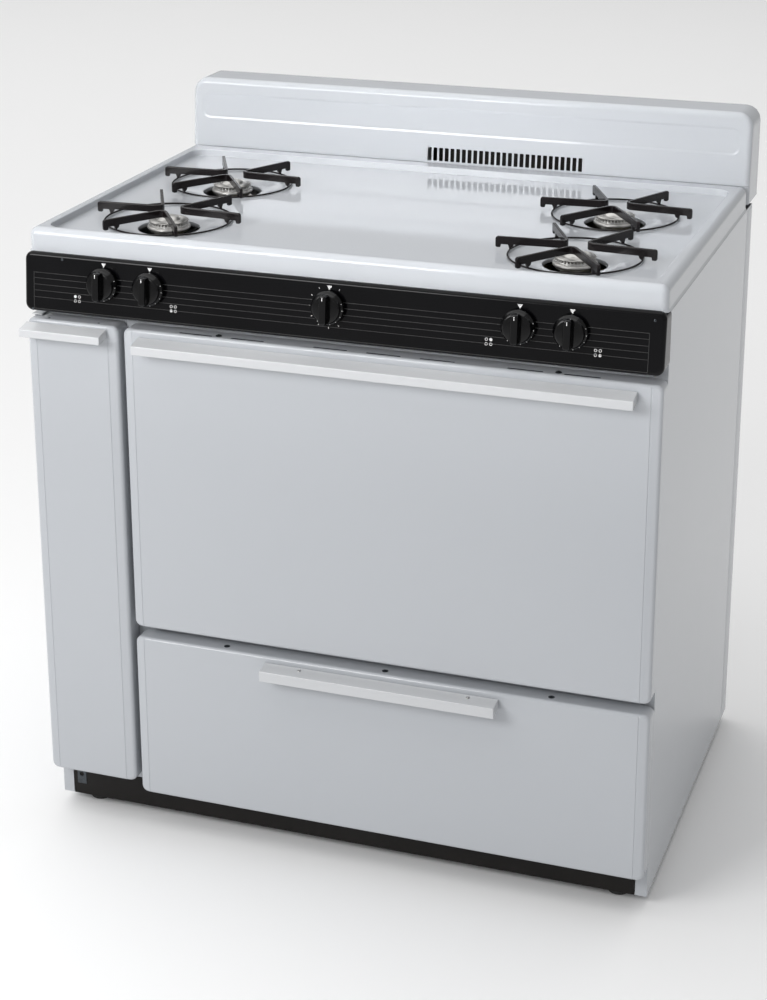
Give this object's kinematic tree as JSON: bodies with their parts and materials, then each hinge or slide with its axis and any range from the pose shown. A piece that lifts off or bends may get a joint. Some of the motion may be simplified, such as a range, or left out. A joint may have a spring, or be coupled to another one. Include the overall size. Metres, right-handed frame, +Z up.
{
  "type": "freestanding gas range",
  "caption": "Wide freestanding gas range with open burners, lift-up cooktop, backguard, knobs on a black control panel, storage door, drop-down oven door and broiler drawer",
  "frame": {"origin": "on the floor, under the middle of the range's bounding box", "axes": "+X to the cook's right, +Y from the front to the wall, +Z up"},
  "size_m": [0.914, 0.6914, 1.024],
  "materials": {
    "white_enamel": "gloss porcelain enamel",
    "handle_white": "gloss baked enamel, slightly warmer",
    "black_enamel": "satin black porcelain",
    "black_panel": "gloss black enamel",
    "black_plastic": "moulded gloss",
    "oven_enamel": "speckled dark porcelain",
    "galvanised": "zinc-coated sheet",
    "cast_aluminium": "as cast, lightly tumbled",
    "brass": "machined",
    "chrome": "bright plated wire",
    "glass_wool": "glass fibre blanket",
    "woven_seal": "braided glass rope",
    "foot_plastic": "moulded, matt"
  },
  "bodies": {
    "chassis": {"side_panel_left": "white_enamel", "side_panel_right": "white_enamel", "back_panel": "galvanised", "base_pan": "galvanised", "front_frame": "white_enamel", "kick_panel": "black_panel", "control_panel": "black_panel", "backguard_shell": "white_enamel", "backguard_rear_cover": "galvanised", "flue_duct": "galvanised", "oven_liner": "oven_enamel", "oven_insulation": "glass_wool", "oven_floor_plate": "oven_enamel", "oven_burner": "galvanised", "storage_liner": "galvanised", "rack_guides": "chrome", "storage_door_hinge": "galvanised", "burner_valves": "brass", "drawer_track": "galvanised", "gas_manifold": "galvanised", "pressure_regulator": "cast_aluminium", "oven_thermostat": "brass", "burner_left_front": "cast_aluminium", "burner_left_rear": "cast_aluminium", "burner_right_front": "cast_aluminium", "burner_right_rear": "cast_aluminium"},
    "oven_door": {"oven_door_skin": "white_enamel", "oven_door_liner": "oven_enamel", "oven_door_seal": "woven_seal", "oven_door_handle": "handle_white", "oven_door_hinge_left": "galvanised", "oven_door_hinge_right": "galvanised"},
    "storage_door": {"storage_door_skin": "white_enamel", "storage_door_handle": "handle_white"},
    "drawer": {"drawer_front": "white_enamel", "drawer_tray": "galvanised", "drawer_handle": "handle_white", "broiler_pan": "oven_enamel", "broiler_grid": "oven_enamel"},
    "cooktop": {"cooktop": "white_enamel"},
    "grate_left_front": {"grate_left_front": "black_enamel"},
    "grate_left_rear": {"grate_left_rear": "black_enamel"},
    "grate_right_front": {"grate_right_front": "black_enamel"},
    "grate_right_rear": {"grate_right_rear": "black_enamel"},
    "stem_left_rear": {"stem_left_rear": "brass"},
    "knob_left_rear": {"knob_left_rear": "black_plastic"},
    "stem_left_front": {"stem_left_front": "brass"},
    "knob_left_front": {"knob_left_front": "black_plastic"},
    "stem_oven": {"stem_oven": "brass"},
    "knob_oven": {"knob_oven": "black_plastic"},
    "stem_right_rear": {"stem_right_rear": "brass"},
    "knob_right_rear": {"knob_right_rear": "black_plastic"},
    "stem_right_front": {"stem_right_front": "brass"},
    "knob_right_front": {"knob_right_front": "black_plastic"},
    "foot_front_left": {"foot_front_left": "foot_plastic"},
    "foot_rear_left": {"foot_rear_left": "foot_plastic"},
    "foot_front_right": {"foot_front_right": "foot_plastic"},
    "foot_rear_right": {"foot_rear_right": "foot_plastic"},
    "oven_rack_lower": {"oven_rack_lower": "chrome"},
    "oven_rack_upper": {"oven_rack_upper": "chrome"}
  },
  "joints": [
    {"name": "oven_door_hinge", "type": "hinge", "parent": "chassis", "child": "oven_door", "pos_m": [0.0745, -0.29828, 0.336], "axis": [1, 0, 0], "range_deg": [0, 90], "stiffness_Nm_per_rad": 8, "springref_deg": -17.19},
    {"name": "storage_door_hinge", "type": "hinge", "parent": "chassis", "child": "storage_door", "pos_m": [-0.452, -0.29628, 0.431], "axis": [0, 0, -1], "range_deg": [0, 105]},
    {"name": "drawer_slide", "type": "slide", "parent": "chassis", "child": "drawer", "axis": [0, -1, 0], "range_m": [0, 0.33]},
    {"name": "cooktop_lift", "type": "hinge", "parent": "chassis", "child": "cooktop", "pos_m": [0, 0.26672, 0.916], "axis": [-1, 0, 0], "range_deg": [0, 40]},
    {"name": "grate_left_front_lift", "type": "slide", "parent": "cooktop", "child": "grate_left_front", "axis": [0, 0, 1], "range_m": [0, 0.08]},
    {"name": "grate_left_rear_lift", "type": "slide", "parent": "cooktop", "child": "grate_left_rear", "axis": [0, 0, 1], "range_m": [0, 0.08]},
    {"name": "grate_right_front_lift", "type": "slide", "parent": "cooktop", "child": "grate_right_front", "axis": [0, 0, 1], "range_m": [0, 0.08]},
    {"name": "grate_right_rear_lift", "type": "slide", "parent": "cooktop", "child": "grate_right_rear", "axis": [0, 0, 1], "range_m": [0, 0.08]},
    {"name": "knob_left_rear_turn", "type": "hinge", "parent": "chassis", "child": "stem_left_rear", "pos_m": [-0.334, -0.31571, 0.848], "axis": [0, -0.9955, 0.0948], "range_deg": [0, 200]},
    {"name": "knob_left_rear_push", "type": "slide", "parent": "stem_left_rear", "child": "knob_left_rear", "axis": [0, 0.9955, -0.0948], "range_m": [0, 0.003], "stiffness_N_per_m": 800},
    {"name": "knob_left_front_turn", "type": "hinge", "parent": "chassis", "child": "stem_left_front", "pos_m": [-0.264, -0.31571, 0.848], "axis": [0, -0.9955, 0.0948], "range_deg": [0, 200]},
    {"name": "knob_left_front_push", "type": "slide", "parent": "stem_left_front", "child": "knob_left_front", "axis": [0, 0.9955, -0.0948], "range_m": [0, 0.003], "stiffness_N_per_m": 800},
    {"name": "knob_oven_turn", "type": "hinge", "parent": "chassis", "child": "stem_oven", "pos_m": [0, -0.31571, 0.848], "axis": [0, -0.9955, 0.0948], "range_deg": [0, 300]},
    {"name": "knob_oven_push", "type": "slide", "parent": "stem_oven", "child": "knob_oven", "axis": [0, 0.9955, -0.0948], "range_m": [0, 0.003], "stiffness_N_per_m": 800},
    {"name": "knob_right_rear_turn", "type": "hinge", "parent": "chassis", "child": "stem_right_rear", "pos_m": [0.264, -0.31571, 0.848], "axis": [0, -0.9955, 0.0948], "range_deg": [0, 200]},
    {"name": "knob_right_rear_push", "type": "slide", "parent": "stem_right_rear", "child": "knob_right_rear", "axis": [0, 0.9955, -0.0948], "range_m": [0, 0.003], "stiffness_N_per_m": 800},
    {"name": "knob_right_front_turn", "type": "hinge", "parent": "chassis", "child": "stem_right_front", "pos_m": [0.334, -0.31571, 0.848], "axis": [0, -0.9955, 0.0948], "range_deg": [0, 200]},
    {"name": "knob_right_front_push", "type": "slide", "parent": "stem_right_front", "child": "knob_right_front", "axis": [0, 0.9955, -0.0948], "range_m": [0, 0.003], "stiffness_N_per_m": 800},
    {"name": "foot_front_left_turn", "type": "hinge", "parent": "chassis", "child": "foot_front_left", "pos_m": [-0.409, -0.25028, 0], "axis": [0, 0, 1], "continuous": true},
    {"name": "foot_rear_left_turn", "type": "hinge", "parent": "chassis", "child": "foot_rear_left", "pos_m": [-0.409, 0.27772, 0], "axis": [0, 0, 1], "continuous": true},
    {"name": "foot_front_right_turn", "type": "hinge", "parent": "chassis", "child": "foot_front_right", "pos_m": [0.409, -0.25028, 0], "axis": [0, 0, 1], "continuous": true},
    {"name": "foot_rear_right_turn", "type": "hinge", "parent": "chassis", "child": "foot_rear_right", "pos_m": [0.409, 0.27772, 0], "axis": [0, 0, 1], "continuous": true},
    {"name": "oven_rack_lower_slide", "type": "slide", "parent": "chassis", "child": "oven_rack_lower", "axis": [0, -1, 0], "range_m": [0, 0.05]},
    {"name": "oven_rack_upper_slide", "type": "slide", "parent": "chassis", "child": "oven_rack_upper", "axis": [0, -1, 0], "range_m": [0, 0.05]}
  ]
}
